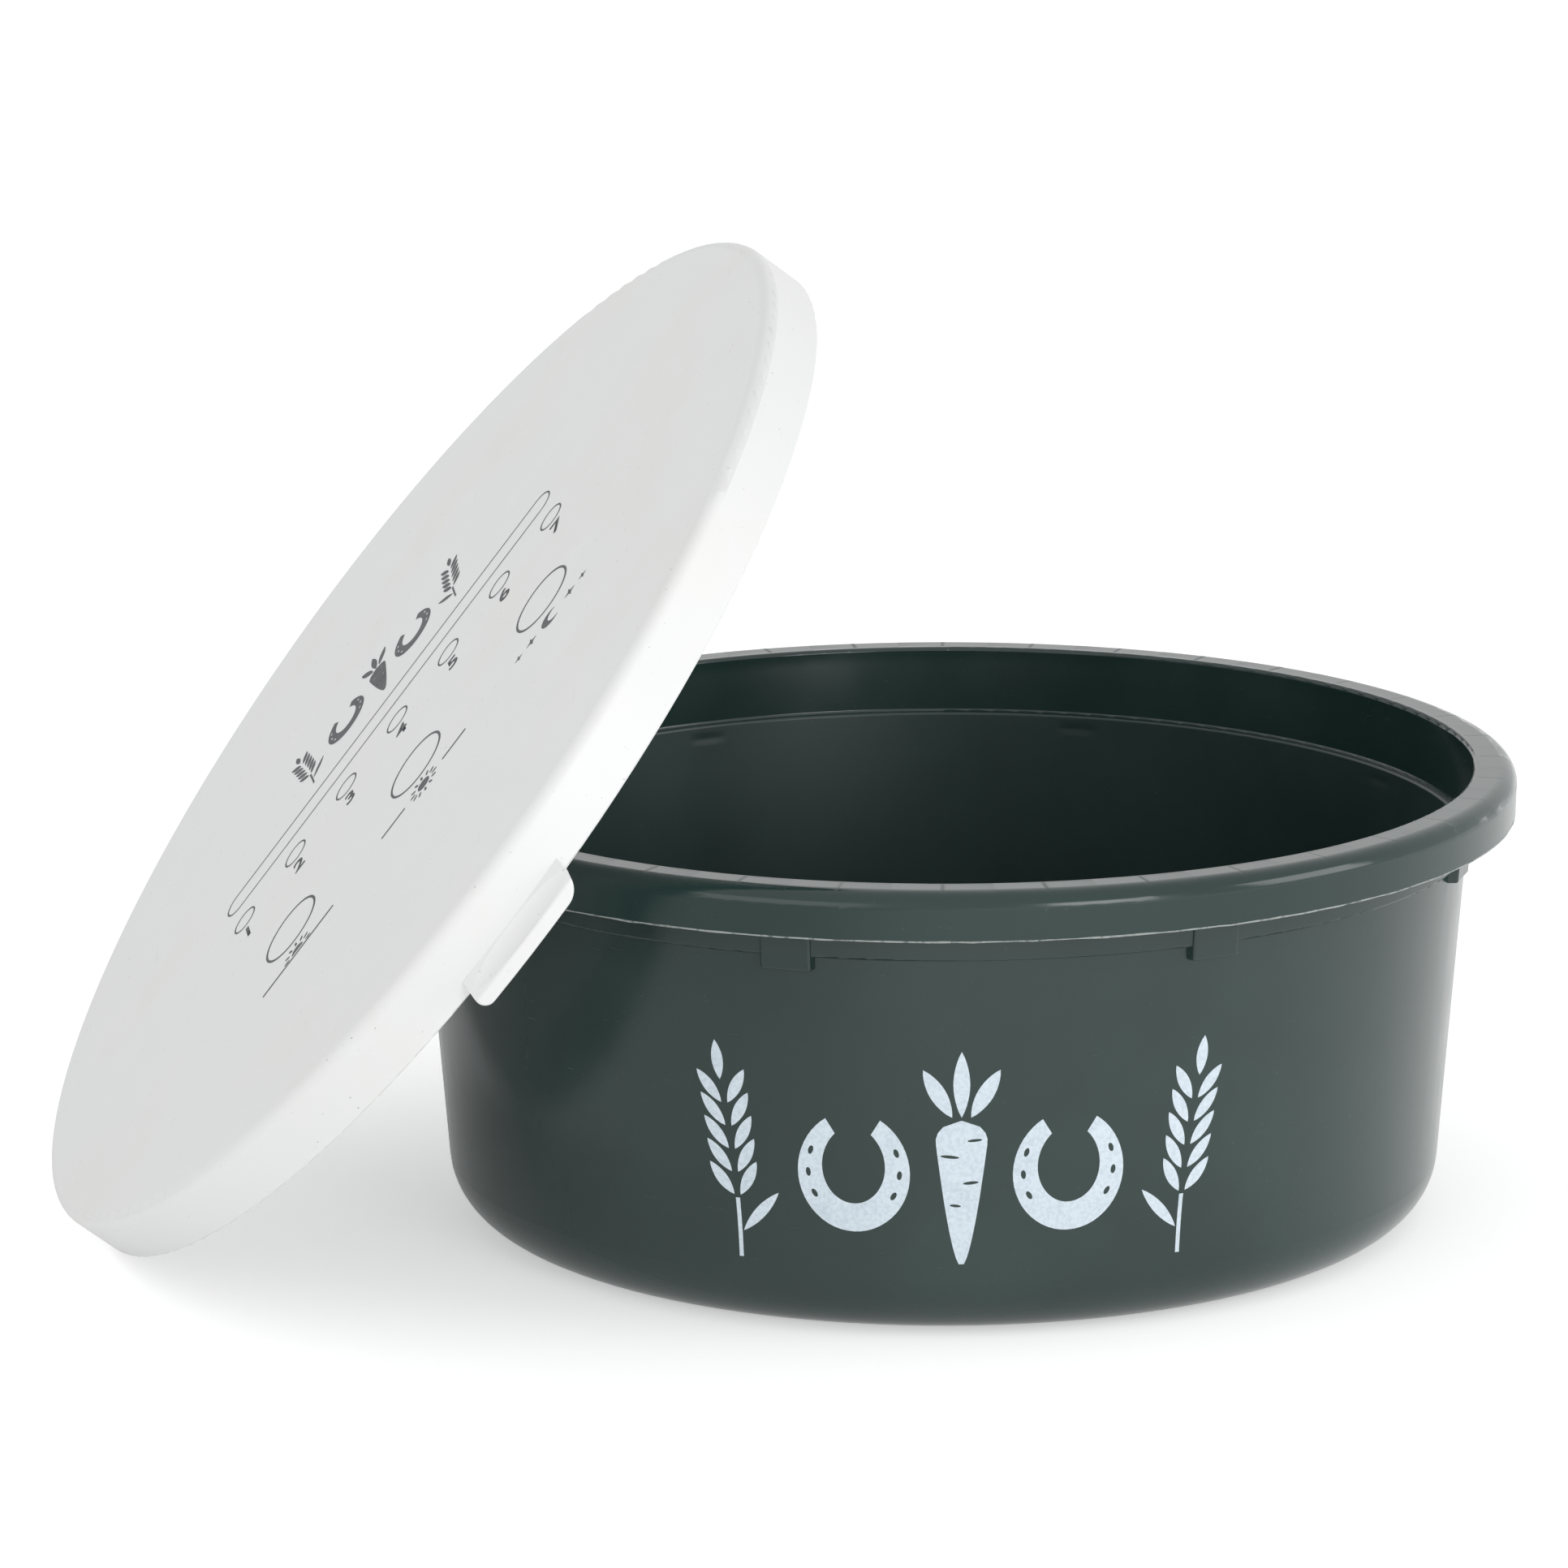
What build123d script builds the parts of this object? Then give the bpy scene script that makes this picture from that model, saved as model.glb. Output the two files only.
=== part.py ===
from build123d import *
from math import cos, degrees, radians, sin, tan
import os

# A round plastic feed bowl with its lid leaning on it, in millimetres.
# The origin is the middle of the bowl's underside, +Z is up, and the printed side faces -Y.
# Angles round the bowl are counted from -Y, positive towards +X.

# Bowl
bowl_height = 139.8
mouth_radius = 162.2
mouth_edge_radius = 1.2
wall = 2.2
wall_draft = 4.55
band_depth = 23.15
band_inset = 2.05
ledge_edge_radius = 0.9
floor_thickness = 2.6
floor_corner_radius = 19.4
foot_width = 15.0
foot_pad_radius = 46.0
foot_recess = 0.9
foot_edge_radius = 0.6

# Rim
rim_overhang = 13.3
rim_wall = 2.0
rim_edge_radius = 5.0
rim_skirt_depth = 14.4
rim_skirt_draft = 2.0
rim_lip_radius = 0.6

# Webs inside the hollow rim
web_count = 36
web_thickness = 1.3
web_depth = 7.5

# Lugs below the step, which stop stacked bowls from jamming
lug_count = 8
lug_first_angle = -16.1
lug_width = 14.7
lug_side_draft = 16.0
lug_proud = 0.7
lug_drop = 4.1
lug_edge_radius = 0.8

# Lid
lid_clearance = 2.3
lid_wall = 2.2
lid_height = 19.2
lid_edge_radius = 4.0
lid_lip_radius = 0.7
bead_bite = 0.6
bead_clearance = 0.4
bead_flank_height = 2.2
bead_tip_height = 0.8
locating_rib_clearance = 1.2
locating_rib_height = 4.5
locating_rib_width = 1.6

# Pull tab on the lid's lower edge
tab_width = 44.5
tab_reach = 6.5
tab_drop = 5.0
tab_skew = 2.4
tab_end_thickness = 4.2
tab_corner_radius = 7.0
tab_heel_radius = 3.2
tab_edge_radius = 0.8
tab_crease_height = 4.3
tab_scoop_radius = 9.0
tab_scoop_bite = 0.8

# How the lid leans on the rim, with its edge on the ground
lean_tilt = 52.5
lean_azimuth = 192.6
lean_offset = 20.2
lean_gap = 0.3
lid_turn = 86.2

# Depth to which joined shapes are sunk into each other
overlap = 0.5

# Places along the bowl's section
taper = tan(radians(wall_draft))
rim_radius = mouth_radius + rim_overhang
skirt_bottom = bowl_height - rim_skirt_depth
rim_underside = bowl_height - rim_wall
step_height = bowl_height - band_depth
ledge_height = step_height + wall
lug_bottom = step_height - lug_drop

# Places along the lid's section, from its top face down
lid_inner_radius = rim_radius + lid_clearance
lid_radius = lid_inner_radius + lid_wall
bead_top = lid_wall + rim_skirt_depth + bead_clearance
bead_bottom = bead_top + bead_tip_height


def band_radius(height):
    """Outside of the band below the rim."""
    return mouth_radius + wall - (bowl_height - height) * taper


def side_radius(height):
    """Outside of the side wall below the step."""
    return band_radius(height) - band_inset


def skirt_radius(height):
    """Outside of the rim's hanging skirt."""
    return rim_radius - (bowl_height - height) * tan(radians(rim_skirt_draft))


def section(corners):
    """A flat face in the XZ plane, from corners given as radius, height and rounding."""
    points = [(radius, height) for radius, height, rounding in corners]
    roundings = [rounding for radius, height, rounding in corners]
    outline = FilletPolyline(*points, radius=roundings, close=True)
    return Plane.XZ * make_face(outline.edges())


def ring(corners, arc=360):
    return revolve(section(corners), Axis.Z, revolution_arc=arc)


def bowl_shell():
    return ring([
        (0, 0, 0),
        (side_radius(0), 0, floor_corner_radius),
        (side_radius(step_height), step_height, 0),
        (band_radius(step_height), step_height, ledge_edge_radius),
        (band_radius(rim_underside), rim_underside, 0),
        (skirt_radius(rim_underside) - rim_wall, rim_underside, rim_edge_radius - rim_wall),
        (skirt_radius(skirt_bottom) - rim_wall, skirt_bottom, rim_lip_radius),
        (skirt_radius(skirt_bottom), skirt_bottom, rim_lip_radius),
        (rim_radius, bowl_height, rim_edge_radius),
        (mouth_radius, bowl_height, mouth_edge_radius),
        (band_radius(ledge_height) - wall, ledge_height, ledge_edge_radius),
        (side_radius(ledge_height) - wall, ledge_height, ledge_edge_radius),
        (side_radius(floor_thickness) - wall, floor_thickness, floor_corner_radius - wall),
        (0, floor_thickness, 0),
    ])


def foot_hollow():
    """The shallow ring that leaves a foot and a middle pad to stand on."""
    corner_setback = floor_corner_radius * tan(radians(90 - wall_draft) / 2)
    outer = side_radius(0) - corner_setback - foot_width
    return ring([
        (foot_pad_radius, -foot_recess, 0),
        (outer, -foot_recess, 0),
        (outer, foot_recess, foot_edge_radius),
        (foot_pad_radius, foot_recess, foot_edge_radius),
    ])


def lug():
    """A solid lug that stands proud of the band, leans with the wall and narrows outwards."""
    face = band_radius(lug_bottom) + lug_proud
    back = side_radius(lug_bottom) - wall / 2
    half_width = lug_width / 2
    spread = (face - back) * tan(radians(lug_side_draft))
    outline = FilletPolyline(
        (half_width, -face),
        (half_width + spread, -back),
        (-half_width - spread, -back),
        (-half_width, -face),
        radius=[lug_edge_radius, 0, 0, lug_edge_radius],
        close=True,
    )
    base = Pos(0, 0, lug_bottom) * make_face(outline.edges())
    lean = Vector(0, -taper, 1).normalized()
    block = extrude(base, amount=(rim_underside + overlap - lug_bottom) / lean.Z, dir=lean)
    underside = block.faces().sort_by(Axis.Z)[0]
    block = fillet(underside.edges().sort_by(Axis.Y)[:-1], lug_edge_radius)
    inside = ring([
        (0, lug_bottom - overlap, 0),
        (side_radius(lug_bottom - overlap) - overlap, lug_bottom - overlap, 0),
        (side_radius(ledge_height) - overlap, ledge_height, 0),
        (band_radius(ledge_height) - overlap, ledge_height, 0),
        (band_radius(bowl_height) - overlap, bowl_height, 0),
        (0, bowl_height, 0),
    ])
    return block - inside


def web():
    """One radial web between the band and the rim's skirt."""
    bottom = rim_underside - web_depth
    inner = band_radius(bottom) - overlap
    outer = skirt_radius(rim_underside) - rim_wall + overlap
    height = web_depth + overlap
    placing = (Align.CENTER, Align.MAX, Align.MIN)
    return Pos(0, -inner, bottom) * Box(web_thickness, outer - inner, height, align=placing)


def round_the_axis(shape, count, first_angle):
    return [Rot(0, 0, first_angle + turn * 360 / count) * shape for turn in range(count)]


def bowl():
    body = bowl_shell() - foot_hollow()
    body += round_the_axis(lug(), lug_count, lug_first_angle)
    return body + round_the_axis(web(), web_count, 0)


def lid_shell():
    """Plate, skirt and snap bead, with the top face at height 0."""
    bead_radius = skirt_radius(skirt_bottom) - bead_bite
    return ring([
        (0, 0, 0),
        (lid_radius, 0, lid_edge_radius),
        (lid_radius, -lid_height, lid_lip_radius),
        (lid_inner_radius, -lid_height, 0),
        (bead_radius, -bead_bottom, 0),
        (bead_radius, -bead_top, 0),
        (lid_inner_radius, bead_flank_height - bead_top, 0),
        (lid_inner_radius, -lid_wall, lid_edge_radius - lid_wall),
        (0, -lid_wall, 0),
    ])


def locating_rib():
    """A low ring under the plate that drops inside the bowl's mouth."""
    outer = mouth_radius - locating_rib_clearance
    return ring([
        (outer - locating_rib_width, overlap - lid_wall, 0),
        (outer, overlap - lid_wall, 0),
        (outer, -lid_wall - locating_rib_height, 0),
        (outer - locating_rib_width, -lid_wall - locating_rib_height, 0),
    ])


def pull_tab():
    """A scooped tongue below the skirt's edge, on the -Y side, that leans towards -X."""
    bottom = lid_height + tab_drop
    crease = Vector(lid_radius, 0, tab_crease_height - lid_height)
    lip = Vector(lid_radius + tab_reach, 0, tab_end_thickness - bottom)
    arc = degrees((tab_width + 2 * tab_skew) / lid_radius)
    wedge = ring([
        (lid_inner_radius, crease.Z, 0),
        (lid_inner_radius, -bottom, 0),
        (lip.X, -bottom, 0),
        (lip.X, lip.Z, 0),
        (crease.X, crease.Z, 0),
    ], arc)
    outline = FilletPolyline(
        (-tab_width / 2, crease.Z),
        (-tab_width / 2 - tab_skew, -bottom),
        (tab_width / 2 - tab_skew, -bottom),
        (tab_width / 2, crease.Z),
        radius=[0, tab_heel_radius, tab_corner_radius, 0],
        close=True,
    )
    tongue = Rot(0, 0, -90 - arc / 2) * wedge
    tongue &= extrude(Plane.XZ * make_face(outline.edges()), lip.X + overlap)
    outer_face = tongue.faces().sort_by(Axis.Y)[0]
    return fillet(outer_face.edges(), tab_edge_radius) - tab_scoop(crease, lip)


def tab_scoop(crease, lip):
    """A straight round channel, which bites deepest into the middle of the curved slope."""
    slope = (lip - crease).normalized()
    outward = Vector(-slope.Z, 0, slope.X)
    centre = (crease + lip) / 2 + outward * (tab_scoop_radius - tab_scoop_bite)
    return Pos(0, -centre.X, centre.Z) * Rot(0, 90, 0) * Cylinder(tab_scoop_radius, tab_width)


def lid():
    return lid_shell() + locating_rib() + pull_tab()


def leaning_place():
    """Where the lid's top face lies when it leans on the rim and stands on the ground."""
    tilt = radians(lean_tilt)
    azimuth = radians(lean_azimuth)
    outward = Vector(cos(azimuth), sin(azimuth), 0)
    normal = outward * sin(tilt) + Vector(0, 0, cos(tilt))
    across = Vector(0, 0, 1).cross(normal).normalized()
    uphill = normal.cross(across)

    # The farthest that the rounded rim reaches towards the plate
    rim_reach = rim_edge_radius + (rim_radius - rim_edge_radius) * sin(tilt)
    rim_reach += (bowl_height - rim_edge_radius) * cos(tilt)
    plate_reach = rim_reach + lean_gap + lid_wall

    # The middle of the top face, as high as the lid's lowest edge lies below it
    middle_height = lid_lip_radius + (lid_radius - lid_lip_radius) * sin(tilt)
    middle_height += (lid_height - lid_lip_radius) * cos(tilt)
    middle_out = (plate_reach - middle_height * cos(tilt)) / sin(tilt)
    middle = outward * middle_out - across * lean_offset + Vector(0, 0, middle_height)

    turn = radians(lid_turn)
    return Plane(middle, x_dir=across * cos(turn) + uphill * sin(turn), z_dir=normal)


def main():
    os.makedirs("parts", exist_ok=True)
    export_step(bowl(), "parts/bowl.step")
    export_step(leaning_place() * lid(), "parts/lid.step")


main()
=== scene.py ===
import math
import bpy
from mathutils import Matrix, Vector, noise


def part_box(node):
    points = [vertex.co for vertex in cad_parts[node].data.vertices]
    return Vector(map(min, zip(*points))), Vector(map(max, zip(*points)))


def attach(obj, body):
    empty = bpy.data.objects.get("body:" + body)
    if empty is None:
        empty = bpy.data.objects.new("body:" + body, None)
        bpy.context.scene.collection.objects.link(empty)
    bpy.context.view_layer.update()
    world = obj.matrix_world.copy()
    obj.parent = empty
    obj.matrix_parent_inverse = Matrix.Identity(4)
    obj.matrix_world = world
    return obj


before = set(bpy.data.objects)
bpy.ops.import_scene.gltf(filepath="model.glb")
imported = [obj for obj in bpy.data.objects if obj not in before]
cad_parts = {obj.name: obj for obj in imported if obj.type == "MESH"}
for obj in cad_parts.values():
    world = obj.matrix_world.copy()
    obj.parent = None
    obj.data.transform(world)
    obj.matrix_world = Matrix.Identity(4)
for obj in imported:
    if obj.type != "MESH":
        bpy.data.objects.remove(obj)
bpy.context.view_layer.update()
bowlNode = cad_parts["bowl"]
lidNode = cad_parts["lid"]
mm = 0.001
print("frame loaded:", ", ".join(sorted(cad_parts)))


# Shader maths, written as expressions on sockets

class Wire:
    def __init__(self, socket):
        self.socket = socket

    def make(self, kind, settings=None, sockets=None, output=0):
        node = self.socket.id_data.nodes.new(kind)
        for name, value in (settings or {}).items():
            setattr(node, name, value)
        for name, value in (sockets or {}).items():
            socket = node.inputs[name]
            if isinstance(value, Wire):
                self.socket.id_data.links.new(value.socket, socket)
            else:
                socket.default_value = value
        return Wire(node.outputs[output])

    def math(self, operation, other=None):
        sockets = {0: self} if other is None else {0: self, 1: other}
        return self.make("ShaderNodeMath", {"operation": operation}, sockets)

    def __add__(self, other):
        return self.math("ADD", other)

    def __sub__(self, other):
        return self.math("SUBTRACT", other)

    def __rsub__(self, other):
        return self.make("ShaderNodeMath", {"operation": "SUBTRACT"}, {0: other, 1: self})

    def __mul__(self, other):
        return self.math("MULTIPLY", other)

    def __pow__(self, other):
        return self.math("POWER", other)

    __radd__ = __add__
    __rmul__ = __mul__

    # 0 below low, 1 above high, and smooth between; the other way round if low is above high
    def rise(self, low, high):
        settings = {"interpolation_type": "SMOOTHSTEP", "clamp": True}
        start, end = (0.0, 1.0) if low < high else (1.0, 0.0)
        sockets = {"Value": self, "From Min": min(low, high), "From Max": max(low, high)}
        return self.make("ShaderNodeMapRange", settings, {**sockets, "To Min": start, "To Max": end})

    def band(self, low, high, soft):
        return self.rise(low - soft, low + soft) * self.rise(high + soft, high - soft)

    # This wire is the share of the second colour.
    # The Mix node has sockets for each kind of data: 6 and 7 take the colours, and 2 gives one
    def between(self, first, second):
        sockets = {0: self, 6: colour(first), 7: colour(second)}
        return self.make("ShaderNodeMix", {"data_type": "RGBA", "clamp_factor": True}, sockets, 2)

    def noise(self, scale, detail=3.0, roughness=0.55):
        sockets = {"Vector": self, "Scale": scale, "Detail": detail, "Roughness": roughness}
        return self.make("ShaderNodeTexNoise", {}, sockets)

    def stretched(self, turn, scale):
        return self.make("ShaderNodeMapping", {}, {"Vector": self, "Rotation": turn, "Scale": scale})


def colour(value):
    return value if isinstance(value, Wire) else (*value, 1.0)


def newMaterial(name):
    material = bpy.data.materials.new(name)
    material.use_nodes = True
    nodes = material.node_tree.nodes
    place = nodes.new("ShaderNodeTexCoord")
    return material, nodes["Principled BSDF"], Wire(place.outputs["Object"])


def plug(shader, sockets):
    for name, value in sockets.items():
        if isinstance(value, Wire):
            shader.id_data.links.new(value.socket, shader.inputs[name])
        else:
            shader.inputs[name].default_value = value


def bump(height):
    # The height is in tenths of a millimetre
    return height.make("ShaderNodeBump", {}, {"Height": height, "Distance": 0.1 * mm})


# The dark green moulding

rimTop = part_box("bowl")[1].z

bowlLooks = {
    "green": (0.0126, 0.0312, 0.0276),
    "paleGreen": (0.0200, 0.0446, 0.0404),
    "rimPaintedShade": (0.0045, 0.0270, 0.0240),
    "rimPaintedShadeShare": 0.6,
    "rimPaintedShadeFrom": 171 * mm,
    "rimPaintedShadeDepth": 14.5 * mm,
    "dust": (0.16, 0.18, 0.175),
    "roughness": 0.20,
    "rimRoughness": 0.11,
    "dullInside": 0.20,
    "sinkMarks": 36,
    "sinkSharpness": 90.0,
    "sinkInside": 164.0 * mm,
    "sinkOutside": 172.4 * mm,
    "sinkEdge": 1.2 * mm,
    "sinkDepth": 1.1,
    "lugs": 8,
    "lugTurn": -16.1,
    "lugSinkHeight": 114.6 * mm,
    "lugSinkHalf": 1.0 * mm,
    "lugSinkEdge": 1.6 * mm,
    "lugSinkRadius": 160.1 * mm,
    "lugSinkDepth": 1.8,
    "draft": 0.0796,
    "cornerFrom": 131.8 * mm,
    "cornerHeight": 19.5 * mm,
    "cornerRadius": 18.3 * mm,
    "ledgeHeight": 118.5 * mm,
    "gateRadius": 4 * mm,
}


def bowlPlastic():
    look = bowlLooks
    material, shader, place = newMaterial("darkGreenPlastic")
    parts = place.make("ShaderNodeSeparateXYZ", {}, {"Vector": place})
    x, y, z = (Wire(parts.socket.node.outputs[axis]) for axis in "XYZ")
    radius = (x * x + y * y).math("SQRT")
    angle = x.make("ShaderNodeMath", {"operation": "ARCTAN2"}, {0: y, 1: x})

    # Sink marks on the rim's top, one over each web under it: a thin line with a slope on one side
    ridges = (angle * look["sinkMarks"]).math("COSINE").math("MAXIMUM", 0.0) ** look["sinkSharpness"]
    onTop = radius.band(look["sinkInside"], look["sinkOutside"], look["sinkEdge"])
    onTop = onTop * z.rise(rimTop - 2.5 * mm, rimTop - 0.6 * mm)
    turns = angle * (look["sinkMarks"] / (2 * math.pi)) + 0.5
    slope = turns - turns.math("FLOOR")
    wander = place.noise(9.0, 1.0).rise(0.30, 0.70) * 0.5 + 0.5
    sinks = (ridges * 0.5 + slope * 0.9) * onTop * wander

    # A soft sink mark inside, behind each lug
    lugs = ((angle - math.radians(look["lugTurn"])) * look["lugs"]).math("COSINE").rise(0.93, 1.0)
    low, high = look["lugSinkHeight"] - look["lugSinkHalf"], look["lugSinkHeight"] + look["lugSinkHalf"]
    behind = radius.rise(look["lugSinkRadius"] + 0.4 * mm, look["lugSinkRadius"] - 0.4 * mm)
    lugSinks = lugs * z.band(low, high, look["lugSinkEdge"]) * behind

    # Moulded skin: a slow wave, a fine grain and hairline scuffs
    wave = place.noise(26.0, 2.0)
    grain = place.noise(1500.0, 2.0)
    scuffs = place.stretched((0.3, 0.2, 0.9), (40.0, 40.0, 900.0)).noise(1.6, 4.0, 0.7)
    scuffs = scuffs.rise(0.66, 0.74)
    height = wave * 0.10 + grain * 0.006 - scuffs * 0.004
    height = height - sinks * look["sinkDepth"] - lugSinks * look["lugSinkDepth"]

    # Specks of dust, patches where the colour is paler, and painted shade on the rim's outside: a
    # deeper green that stands in for the darker look the light gives it
    specks = place.noise(900.0, 1.0).rise(0.745, 0.785)
    patches = place.noise(11.0, 3.0).rise(0.35, 0.75)
    shade = patches.between(look["green"], look["paleGreen"])
    # Painted shade: the rim's outer skirt is tinted a deeper green where the lighting makes it look
    # darker
    rimFoot = rimTop - look["rimPaintedShadeDepth"]
    skirt = z.rise(rimFoot - 0.5 * mm, rimFoot + 0.5 * mm)
    skirt = skirt * radius.rise(look["rimPaintedShadeFrom"] - 1 * mm, look["rimPaintedShadeFrom"] + 1 * mm)
    shade = (skirt * look["rimPaintedShadeShare"]).between(shade, look["rimPaintedShade"])
    shade = (specks * 0.22 * patches).between(shade, look["dust"])

    # The gate scar in the middle of the underside
    gate = radius.rise(look["gateRadius"], look["gateRadius"] * 0.7) * z.rise(2 * mm, 1 * mm)
    shade = (gate * 0.6).between(shade, look["paleGreen"])

    # The inside is duller below its ledge; the middle of the wall parts it from the outside
    across = (radius - z * look["draft"] - look["cornerFrom"]).math("MAXIMUM", 0.0)
    down = (look["cornerHeight"] - z).math("MAXIMUM", 0.0)
    depth = (across * across + down * down).math("SQRT")
    inside = depth.rise(look["cornerRadius"] + 0.3 * mm, look["cornerRadius"] - 0.3 * mm)
    inside = inside * z.rise(look["ledgeHeight"] + 1 * mm, look["ledgeHeight"] - 1 * mm)

    # The rim is glossier, and its sink marks are duller
    rim = z.rise(rimTop - 6 * mm, rimTop - 1 * mm)
    rough = place.noise(45.0, 4.0) * 0.10 + scuffs * 0.10 + look["roughness"] - 0.05 + gate * 0.3
    rough = rough + rim * (look["rimRoughness"] - look["roughness"]) + inside * look["dullInside"]
    rough = rough + (ridges * 0.30 + slope * slope * 0.13) * onTop * wander
    plug(shader, {
        "Base Color": shade,
        "Roughness": rough,
        "Normal": bump(height),
        "IOR": 1.52,
    })
    return material


lidLooks = {
    "white": (0.830, 0.842, 0.838),
    "cream": (0.830, 0.808, 0.775),
    "speck": (0.26, 0.26, 0.26),
    "scratch": (0.64, 0.64, 0.63),
    "roughness": 0.42,
}


def lidPlastic():
    look = lidLooks
    material, shader, place = newMaterial("whiteLidPlastic")

    clouds = place.noise(16.0, 4.0, 0.6).rise(0.42, 0.85)
    shade = (clouds * 0.5).between(look["white"], look["cream"])
    scratches = place.stretched((0.5, 0.9, 0.2), (700.0, 18.0, 18.0)).noise(1.3, 3.0, 0.6)
    scratches = scratches.rise(0.70, 0.76)
    shade = (scratches * 0.30).between(shade, look["scratch"])
    specks = place.noise(900.0, 1.0).rise(0.775, 0.805)
    shade = (specks * 0.65).between(shade, look["speck"])

    # A slow wave, a fine grain and the scratches
    height = place.noise(21.0, 2.0) * 0.12 + place.noise(1100.0, 2.0) * 0.01 - scratches * 0.01
    plug(shader, {
        "Base Color": shade,
        "Roughness": place.noise(60.0, 3.0) * 0.16 + look["roughness"] - 0.08,
        "Normal": bump(height),
        "IOR": 1.50,
    })
    return material


def ink(name, dark, light, roughness):
    material, shader, place = newMaterial(name)
    blots = place.noise(900.0, 2.0)
    worn = place.noise(95.0, 4.0, 0.65)
    shade = (blots.rise(0.35, 0.70) * 0.6 + worn.rise(0.45, 0.8) * 0.4).between(light, dark)
    plug(shader, {
        "Base Color": shade,
        "Roughness": worn * 0.2 + roughness - 0.1,
        "Normal": bump(blots * 0.05),
        "IOR": 1.45,
    })
    return material


bowlNode.material_slots[0].material = bowlPlastic()
lidNode.material_slots[0].material = lidPlastic()
print("moulded plastics made")


# Flat printed shapes, in millimetres, x to the right and y up.
# A motif is a list of patches that don't overlap; a patch is its edge, then its holes.

def ellipse(centre, width, height, turn=0.0, steps=24):
    points = []
    for step in range(steps):
        a = 2 * math.pi * step / steps
        along = Vector((width / 2 * math.cos(a), height / 2 * math.sin(a)))
        along.rotate(Matrix.Rotation(math.radians(turn), 2))
        points.append((centre[0] + along.x, centre[1] + along.y))
    return points


def leaf(foot, length, width, turn, steps=12):
    # A pointed blade that grows from its foot, turned from straight up
    shares = [step / steps for step in range(steps + 1)]
    side = [(math.sin(math.pi * share) ** 0.8 * width / 2, length * share) for share in shares]
    outline = side + [(-x, y) for x, y in reversed(side[1:-1])]
    spin = Matrix.Rotation(math.radians(turn), 2)
    return [tuple(spin @ Vector(point) + Vector(foot)) for point in outline]


def stadium(centre, length, height, steps=16):
    radius = height / 2
    reach = length / 2 - radius
    points = []
    for side in (1, -1):
        for step in range(steps + 1):
            a = -math.pi / 2 + math.pi * step / steps
            x = side * (reach + radius * math.cos(a))
            points.append((centre[0] + x, centre[1] + side * radius * math.sin(a)))
    return points


def ringOf(shape, centre, length, height, line, **more):
    return [shape(centre, length + side * line, height + side * line, **more) for side in (1, -1)]


def moved(patches, x, y, scale=1.0, mirror=False):
    side = -scale if mirror else scale

    def move(outline):
        return [(x + side * px, y + scale * py) for px, py in outline]

    return [[move(outline) for outline in patch] for patch in patches]


horseshoe = {"width": 35.0, "height": 39.0, "toe": 8.6, "heel": 5.4, "opening": 146, "steps": 44}


def horseshoeShape():
    shoe = horseshoe
    outer, inner, holes = [], [], []

    def at(share, offset):
        # share runs from -1 to 1, heel to heel; offset is counted outwards from the middle of the bar
        a = math.radians(share * shoe["opening"])
        narrowing = 1 - 0.10 * abs(share) ** 3
        bar = Vector((math.sin(a) * narrowing, -math.cos(a)))
        radiusX = shoe["width"] / 2 - shoe["toe"] / 2
        radiusY = shoe["height"] / 2 - shoe["toe"] / 2
        return bar.x * (radiusX + offset), bar.y * (radiusY + offset)

    for step in range(shoe["steps"] + 1):
        share = 2 * step / shoe["steps"] - 1
        thick = shoe["toe"] + (shoe["heel"] - shoe["toe"]) * share * share
        outer.append(at(share, thick / 2))
        inner.append(at(share, -thick / 2))
    for share in (-0.74, -0.57, -0.40, 0.40, 0.57, 0.74):
        holes.append(ellipse(at(share, 0.6), 1.5, 2.8, share * shoe["opening"] + 90, 12))
    return [[outer + inner[::-1], *holes]]


carrot = {"length": 44.0, "width": 15.0, "shoulder": 12.0, "leaf": 20.0, "leafWidth": 4.8, "gap": 1.0}


def carrotShape():
    sizes = carrot
    right = []
    for step in range(25):
        share = step / 24
        width = sizes["width"] / 2 * min(1.0, 1.06 * (share + 0.012) ** 0.62)
        shoulder = math.sqrt(max(0.0, 1 - max(0.0, (share - 0.84) / 0.16) ** 2))
        right.append((width * shoulder + 0.25, sizes["shoulder"] - sizes["length"] * (1 - share)))
    body = right + [(-x, y) for x, y in reversed(right)]
    creases = [
        ellipse((-3.4, 1.0), 5.6, 1.0, -6, 12),
        ellipse((2.7, -7.0), 4.6, 1.0, 6, 12),
        ellipse((-1.8, -14.0), 3.4, 0.9, -6, 12),
        ellipse((3.8, 6.0), 4.4, 0.9, 6, 12),
    ]
    foot = sizes["shoulder"] + sizes["gap"]
    leaves = []
    for turn in (0, 30, -30):
        length = sizes["leaf"] - abs(turn) / 9
        leaves.append([leaf((turn / -11, foot), length, sizes["leafWidth"], turn)])
    return [[body, *creases], *leaves]


earOfOats = {
    "bottom": -33.0,
    "height": 66.0,
    "bend": 7.0,
    "stalk": 18.0,
    "stalkWidth": 1.3,
    "blade": 17.0,
    "bladeWidth": 3.4,
    "grain": 12.0,
    "grainWidth": 3.6,
    "spacing": 7.0,
    "pairs": 5,
    "tilt": 33.0,
    "gap": 1.0,
}


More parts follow.
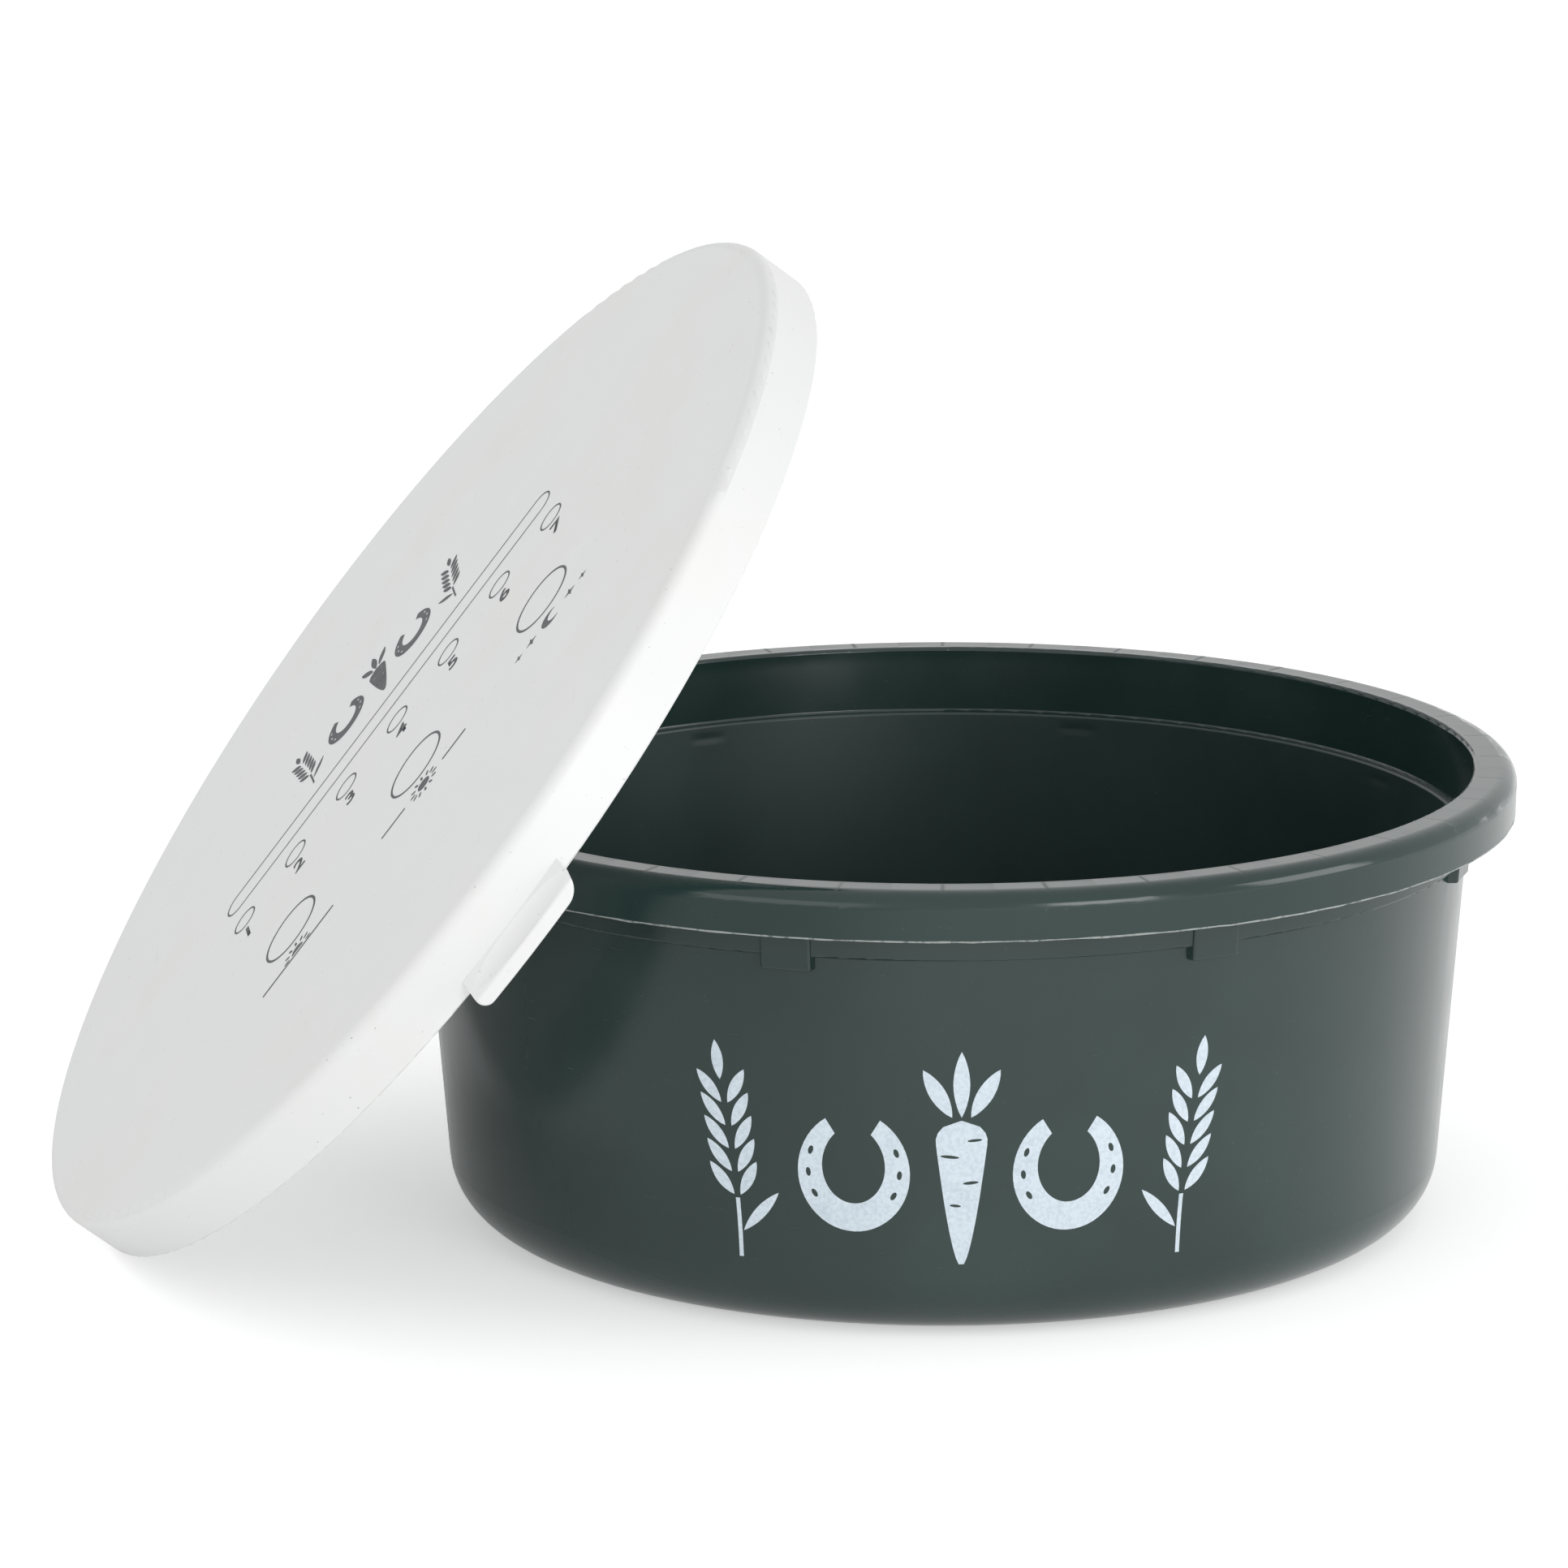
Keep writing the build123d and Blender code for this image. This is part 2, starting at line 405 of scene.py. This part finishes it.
def earShape():
    sizes = earOfOats

    def spine(rise):
        # The stalk bends more the higher it stands; rise is counted from its foot
        return sizes["bend"] * (rise / sizes["height"]) ** 2 - sizes["bend"] / 3, sizes["bottom"] + rise

    def grain(rise, side):
        x, y = spine(rise)
        turn = -side * sizes["tilt"] - 6
        return [leaf((x + side * sizes["gap"], y), sizes["grain"], sizes["grainWidth"], turn)]

    half = sizes["stalkWidth"] / 2
    steps = [spine(sizes["stalk"] * step / 8) for step in range(9)]
    stalk = [(x + half, y) for x, y in steps] + [(x - half, y) for x, y in reversed(steps)]
    x, y = spine(sizes["stalk"] * 0.45)
    blade = leaf((x - half - sizes["gap"] / 2, y), sizes["blade"], sizes["bladeWidth"], 42)
    first = sizes["stalk"] + sizes["gap"]
    heights = [first + sizes["spacing"] * pair for pair in range(sizes["pairs"])]
    tip = grain(first + sizes["spacing"] * sizes["pairs"], 0)
    return [[stalk], [blade], tip, *[grain(rise, side) for rise in heights for side in (-1, 1)]]


stableRow = {"shoeAt": 31.5, "earAt": 69.0, "shoeDrop": -3.0}


def stableRowShapes(scale=1.0, y=0.0):
    # A carrot between two horseshoes, with an ear of oats at each end
    row = moved(carrotShape(), 0, y, scale)
    shoeHeight = y + scale * stableRow["shoeDrop"]
    for mirror, side in ((False, scale), (True, -scale)):
        row += moved(horseshoeShape(), side * stableRow["shoeAt"], shoeHeight, scale)
        row += moved(earShape(), side * stableRow["earAt"], y, scale, mirror)
    return row


def drawPatch(patch):
    # One flat curve per patch, so that an outline inside its edge becomes a hole
    bpy.ops.object.select_all(action="DESELECT")
    line = bpy.data.curves.new("patch", "CURVE")
    line.dimensions = "2D"
    line.fill_mode = "BOTH"
    for outline in patch:
        spline = line.splines.new("POLY")
        spline.points.add(len(outline) - 1)
        for point, (x, y) in zip(spline.points, outline):
            point.co = (x * mm, y * mm, 0, 1)
        spline.use_cyclic_u = True
    shape = bpy.data.objects.new("patch", line)
    bpy.context.scene.collection.objects.link(shape)
    return asMesh(shape)


def asMesh(shape):
    bpy.ops.object.select_all(action="DESELECT")
    bpy.context.view_layer.objects.active = shape
    shape.select_set(True)
    bpy.ops.object.convert(target="MESH")
    return bpy.context.view_layer.objects.active


def writeNumber(number, centre, size, thicker):
    bpy.ops.object.select_all(action="DESELECT")
    bpy.ops.object.text_add(location=(centre[0] * mm, centre[1] * mm, 0))
    text = bpy.context.view_layer.objects.active
    text.data.body = str(number)
    text.data.size = size * mm
    text.data.offset = thicker * mm
    text.data.align_x = "CENTER"
    text.data.align_y = "CENTER"
    text = asMesh(text)
    bpy.ops.object.transform_apply(location=True, rotation=True, scale=True)
    return text


def joined(pieces, name):
    bpy.ops.object.select_all(action="DESELECT")
    for piece in pieces:
        piece.select_set(True)
    bpy.context.view_layer.objects.active = pieces[0]
    bpy.ops.object.join()
    piece = bpy.context.view_layer.objects.active
    piece.name = name
    piece.data.name = name
    return piece


def applyModifier(piece, kind, **settings):
    bpy.context.view_layer.objects.active = piece
    modifier = piece.modifiers.new(kind.lower(), kind)
    for name, value in settings.items():
        setattr(modifier, name, value)
    bpy.ops.object.modifier_apply(modifier=modifier.name)


def placeIn(piece, matrix):
    # The piece's place goes into its mesh, and its object stays at the origin
    bpy.ops.object.select_all(action="DESELECT")
    piece.select_set(True)
    bpy.context.view_layer.objects.active = piece
    piece.matrix_world = matrix @ piece.matrix_world
    bpy.ops.object.transform_apply(location=True, rotation=True, scale=True)


def finishPiece(piece, material, body):
    piece.data.materials.clear()
    piece.data.materials.append(material)
    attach(piece, body)


bowlPrint = {
    "azimuth": 2.0,
    "middleHeight": 55.8 * mm,
    "strip": 2.5 * mm,
    "wallRadius": 156.0 * mm,
    "draft": 0.0796,
    "gap": 0.03 * mm,
    "ink": 0.07 * mm,
    "dark": (0.53, 0.62, 0.69),
    "light": (0.70, 0.79, 0.86),
}


def makeBowlPrint():
    sizes = bowlPrint
    piece = joined([drawPatch(patch) for patch in stableRowShapes()], "bowlPrint")

    # Cut into narrow upright strips, so that it can follow the round wall
    bpy.ops.object.mode_set(mode="EDIT")
    reach = max(abs(vertex.co.x) for vertex in piece.data.vertices)
    strips = math.ceil(reach / sizes["strip"])
    for strip in range(-strips, strips + 1):
        bpy.ops.mesh.select_all(action="SELECT")
        bpy.ops.mesh.bisect(plane_co=(strip * sizes["strip"], 0, 0), plane_no=(1, 0, 0))
    bpy.ops.object.mode_set(mode="OBJECT")

    # Stood up, wrapped round the wall and pulled on to it
    placeIn(piece, Matrix.Rotation(math.pi / 2, 4, "X"))
    for vertex in piece.data.vertices:
        turn = vertex.co.x / sizes["wallRadius"]
        radius = sizes["wallRadius"] + vertex.co.z * sizes["draft"]
        vertex.co.x = radius * math.sin(turn)
        vertex.co.y = -radius * math.cos(turn)
    raised = Matrix.Translation((0, 0, sizes["middleHeight"]))
    placeIn(piece, Matrix.Rotation(math.radians(sizes["azimuth"]), 4, "Z") @ raised)
    applyModifier(piece, "SHRINKWRAP", target=bowlNode, wrap_method="NEAREST_SURFACEPOINT",
                  wrap_mode="OUTSIDE_SURFACE", offset=sizes["gap"])
    applyModifier(piece, "SOLIDIFY", thickness=sizes["ink"], offset=1.0)
    finishPiece(piece, ink("paleBlueInk", sizes["dark"], sizes["light"], 0.42), "bowl")
    print("bowl print made:", len(piece.data.polygons), "faces")


# The lid's place: how it leans, with the middle of its top face found on the frame

lidPlace = {"tilt": 52.5, "azimuth": 192.6, "turn": 86.2}


def lidMatrix():
    tilt = math.radians(lidPlace["tilt"])
    azimuth = math.radians(lidPlace["azimuth"])
    outward = Vector((math.cos(azimuth), math.sin(azimuth), 0))
    normal = outward * math.sin(tilt) + Vector((0, 0, math.cos(tilt)))
    across = Vector((0, 0, 1)).cross(normal).normalized()
    uphill = normal.cross(across)
    turn = math.radians(lidPlace["turn"])
    right = across * math.cos(turn) + uphill * math.sin(turn)
    top = [face for face in lidNode.data.polygons if face.normal.dot(normal) > 0.99999]
    highest = max(face.center.dot(normal) for face in top)
    top = [face for face in top if face.center.dot(normal) > highest - 0.1 * mm]
    area = sum(face.area for face in top)
    middle = sum((face.center * face.area for face in top), Vector()) / area
    turned = Matrix((right, normal.cross(right), normal)).transposed().to_4x4()
    return Matrix.Translation(middle) @ turned


lidPrint = {
    "line": 0.65,
    "bar": {"middle": (-1.0, 24.3), "length": 165.0, "height": 11.0},
    "dayRings": {
        "count": 7, "pitch": 26.0, "y": 4.0, "size": 9.7,
        "numberY": -8.0, "numberSize": 10.4, "thicker": 0.2,
    },
    "mealRings": {
        "pitch": 62.5, "y": -47.0, "size": 23.5, "line": 0.9,
        "signY": -68.0, "signScale": 1.3,
    },
    "row": {"scale": 0.55, "y": 57.5},
    "gap": 0.02 * mm,
    "ink": 0.05 * mm,
    "dark": (0.038, 0.040, 0.048),
    "light": (0.065, 0.068, 0.078),
}


def arc(radius, first, last, step, middle=0.0):
    # Points on an arc about a middle on the x axis, with its angles in degrees
    turns = [math.radians(a) for a in range(first, last, step)]
    return [(middle + radius * math.cos(turn), radius * math.sin(turn)) for turn in turns]


def sunShape(rays, whole):
    # A whole sun between two lines, or the half that has risen above a long line
    disc = arc(2.1, -180, 180, 12) if whole else arc(2.1, 0, 181, 12)
    patches = [[disc]]
    for ray in range(rays):
        a = 360 * ray / rays if whole else 180 * ray / (rays - 1)
        out = Vector((math.cos(math.radians(a)), math.sin(math.radians(a)))) * 4.0
        patches.append([ellipse(out, 1.9, 0.8, a, 10)])
    if whole:
        patches += [[stadium((side * 11.5, 0), 9.0, 0.8, 6)] for side in (-1, 1)]
    else:
        patches.append([stadium((0, -1.3), 27.0, 0.8, 6)])
    return patches


def starShape(x, reach):
    # Four points, drawn in between
    points = []
    for step in range(8):
        far = reach if step % 2 == 0 else reach * 0.36
        turn = math.pi * step / 4
        points.append((x + far * math.cos(turn), far * math.sin(turn)))
    return [points]


def moonShape():
    # A crescent with two stars on each side
    crescent = arc(3.3, 50, 311, 10) + arc(2.65, 280, 79, -10, 1.6)
    stars = [starShape(side * x, reach) for side in (-1, 1) for x, reach in ((7.2, 1.9), (12.0, 1.4))]
    return [[crescent], *stars]


def makeLidPrint():
    sizes = lidPrint
    bar, days, meals, row = sizes["bar"], sizes["dayRings"], sizes["mealRings"], sizes["row"]
    patches = [ringOf(stadium, bar["middle"], bar["length"], bar["height"], sizes["line"])]
    numbers = []
    for day in range(days["count"]):
        x = (day - (days["count"] - 1) / 2) * days["pitch"]
        size = days["size"]
        patches.append(ringOf(ellipse, (x, days["y"]), size, size, sizes["line"], steps=48))
        place = (x, days["numberY"])
        numbers.append(writeNumber(day + 1, place, days["numberSize"], days["thicker"]))
    for side, sign in zip((-1, 0, 1), (sunShape(7, False), sunShape(12, True), moonShape())):
        x = side * meals["pitch"]
        size = meals["size"]
        patches.append(ringOf(ellipse, (x, meals["y"]), size, size, meals["line"], steps=72))
        patches += moved(sign, x, meals["signY"], meals["signScale"])
    patches += stableRowShapes(row["scale"], row["y"])
    piece = joined([drawPatch(patch) for patch in patches] + numbers, "lidPrint")
    placeIn(piece, Matrix.Translation((0, 0, sizes["gap"])))
    applyModifier(piece, "SOLIDIFY", thickness=sizes["ink"], offset=1.0)
    placeIn(piece, lidMatrix())
    finishPiece(piece, ink("darkGreyInk", sizes["dark"], sizes["light"], 0.5), "lid")
    print("lid print made:", len(piece.data.polygons), "faces")


# The ragged thread of plastic along the lower edge of the rim's skirt, where the mould parts; its pale
# colour is a painted highlight, the glint of that edge in the floor's light

rimFlash = {
    "radius": 174.82 * mm,
    "belowTop": 14.22 * mm,
    "halfThickness": 0.26 * mm,
    "ragged": 0.30 * mm,
    "steps": 1440,
    "pale": (0.34, 0.37, 0.36),
    "green": (0.05, 0.07, 0.065),
}


def flashPlastic():
    material, shader, place = newMaterial("flashPaintedGlint")
    # Painted highlight: the pale colour, broken up by the noise, stands in for the glint along the
    # skirt's lower edge
    broken = place.noise(330.0, 4.0, 0.65)
    plug(shader, {
        "Base Color": broken.rise(0.28, 0.52).between(rimFlash["green"], rimFlash["pale"]),
        "Roughness": broken * 0.3 + 0.25,
        "Normal": bump(broken * 0.5),
        "IOR": 1.50,
    })
    return material


def makeRimFlash():
    sizes = rimFlash
    bpy.ops.object.select_all(action="DESELECT")
    height = rimTop - sizes["belowTop"]
    bpy.ops.mesh.primitive_torus_add(
        location=(0, 0, height),
        major_radius=sizes["radius"], major_segments=sizes["steps"],
        minor_radius=sizes["halfThickness"], minor_segments=6)
    thread = bpy.context.view_layer.objects.active
    thread.name = "rimFlash"
    thread.data.name = "rimFlash"
    bpy.ops.object.transform_apply(location=True, rotation=True, scale=True)

    # Each short length is thinner or thicker, and hangs a little more or less
    for vertex in thread.data.vertices:
        turn = math.atan2(vertex.co.y, vertex.co.x)
        middle = Vector((sizes["radius"] * math.cos(turn), sizes["radius"] * math.sin(turn), height))
        swell = 1 + 0.5 * noise.noise(middle * 420.0) + 0.35 * noise.noise(middle * 1500.0)
        hang = sizes["ragged"] * noise.noise(middle * 160.0 + Vector((3, 1, 7)))
        vertex.co = middle + (vertex.co - middle) * max(0.35, swell) + Vector((0, 0, min(0.0, hang)))
    finishPiece(thread, flashPlastic(), "bowl")
    print("rim flash made:", len(thread.data.polygons), "faces")


makeRimFlash()
makeBowlPrint()
makeLidPrint()


# Floor, lights and camera

stageLooks = {
    "floorSize": 60.0,
    "floorColour": (0.92, 0.92, 0.92),
    "floorPatches": (0.90, 0.90, 0.90),
    "floorGlow": 0.45,
    "floorBounce": 0.36,
    "floorClear": (-0.30, 0.02),
    "ambient": 0.71,
    "key": {"place": (1.45, -2.5, 0.62), "size": 1.0, "power": 14.8},
    "fill": {"place": (-1.5, -2.4, 0.55), "size": 1.8, "power": 8.3},
    "side": {"place": (2.4, -0.6, 0.9), "size": 1.2, "power": 13.0},
    "aim": (0, 0, 0.1),
}


def makeFloor():
    bpy.ops.object.select_all(action="DESELECT")
    bpy.ops.mesh.primitive_plane_add(size=stageLooks["floorSize"])
    floor = bpy.context.view_layer.objects.active
    floor.name = "floor"
    material, shader, place = newMaterial("paleFloor")
    tint = place.noise(0.8, 2.0).between(stageLooks["floorColour"], stageLooks["floorPatches"])
    plug(shader, {"Base Color": tint, "Roughness": 0.9, "Specular IOR Level": 0.0})
    plain = Wire(shader.outputs[0])
    glow = place.make("ShaderNodeEmission", {}, {"Strength": stageLooks["floorGlow"]})
    both = place.make("ShaderNodeAddShader", {}, {0: plain, 1: glow})
    camera = place.make("ShaderNodeLightPath", {}, {}, "Is Camera Ray")
    outputs = camera.socket.node.outputs
    glossy, diffuse = Wire(outputs["Is Glossy Ray"]), Wire(outputs["Is Diffuse Ray"])

    # Below the lid, at low x, the floor stays dim in what it throws back at the bowl
    x = place.make("ShaderNodeSeparateXYZ", {}, {"Vector": place})
    clear = x.rise(*stageLooks["floorClear"])
    share = camera + glossy * clear + diffuse * stageLooks["floorBounce"]
    seen = place.make("ShaderNodeMixShader", {}, {0: share, 1: plain, 2: both})
    nodes = material.node_tree.nodes
    material.node_tree.links.new(seen.socket, nodes["Material Output"].inputs["Surface"])
    floor.data.materials.append(material)


def makeWorld():
    world = bpy.data.worlds.new("white surroundings")
    world.use_nodes = True
    bpy.context.scene.world = world
    nodes = world.node_tree.nodes
    background = nodes["Background"]
    start = Wire(background.inputs["Strength"])

    # Full strength for what is seen and mirrored, and the ambient strength for what it lights
    camera = start.make("ShaderNodeLightPath", {}, {}, "Is Camera Ray")
    outputs = camera.socket.node.outputs
    seen = camera + Wire(outputs["Is Glossy Ray"]) + Wire(outputs["Is Transmission Ray"])
    seen = seen.math("MINIMUM", 1.0)
    strength = seen * (1.0 - stageLooks["ambient"]) + stageLooks["ambient"]
    world.node_tree.links.new(strength.socket, background.inputs["Strength"])
    background.inputs["Color"].default_value = (1, 1, 1, 1)


def makeLamp(name, place, size, power):
    bpy.ops.object.light_add(type="AREA", location=place)
    lamp = bpy.context.view_layer.objects.active
    lamp.name = name
    lamp.data.shape = "SQUARE"
    lamp.data.size = size
    lamp.data.energy = power
    aim = Vector(stageLooks["aim"]) - Vector(place)
    lamp.rotation_euler = aim.to_track_quat("-Z", "Y").to_euler()


cameraPlace = {
    "position": (0, -2.20241, 0.639675),
    "lens": 169.17,
    "sensor": 36.0,
    "yaw": 1.26501,
    "pitch": 12.99429,
    "roll": -0.31528,
}


def makeCamera():
    data = bpy.data.cameras.new("camera")
    data.lens = cameraPlace["lens"]
    data.sensor_width = cameraPlace["sensor"]
    data.clip_end = 100
    camera = bpy.data.objects.new("camera", data)
    bpy.context.scene.collection.objects.link(camera)
    yaw = Matrix.Rotation(math.radians(cameraPlace["yaw"]), 4, "Z")
    pitch = Matrix.Rotation(math.radians(90 - cameraPlace["pitch"]), 4, "X")
    roll = Matrix.Rotation(math.radians(cameraPlace["roll"]), 4, "Z")
    camera.matrix_world = Matrix.Translation(cameraPlace["position"]) @ yaw @ pitch @ roll
    bpy.context.scene.camera = camera


makeFloor()
makeWorld()
for lampName in ("key", "fill", "side"):
    makeLamp(lampName, **stageLooks[lampName])
makeCamera()
bpy.context.scene.view_settings.view_transform = "Standard"
print("stage made")
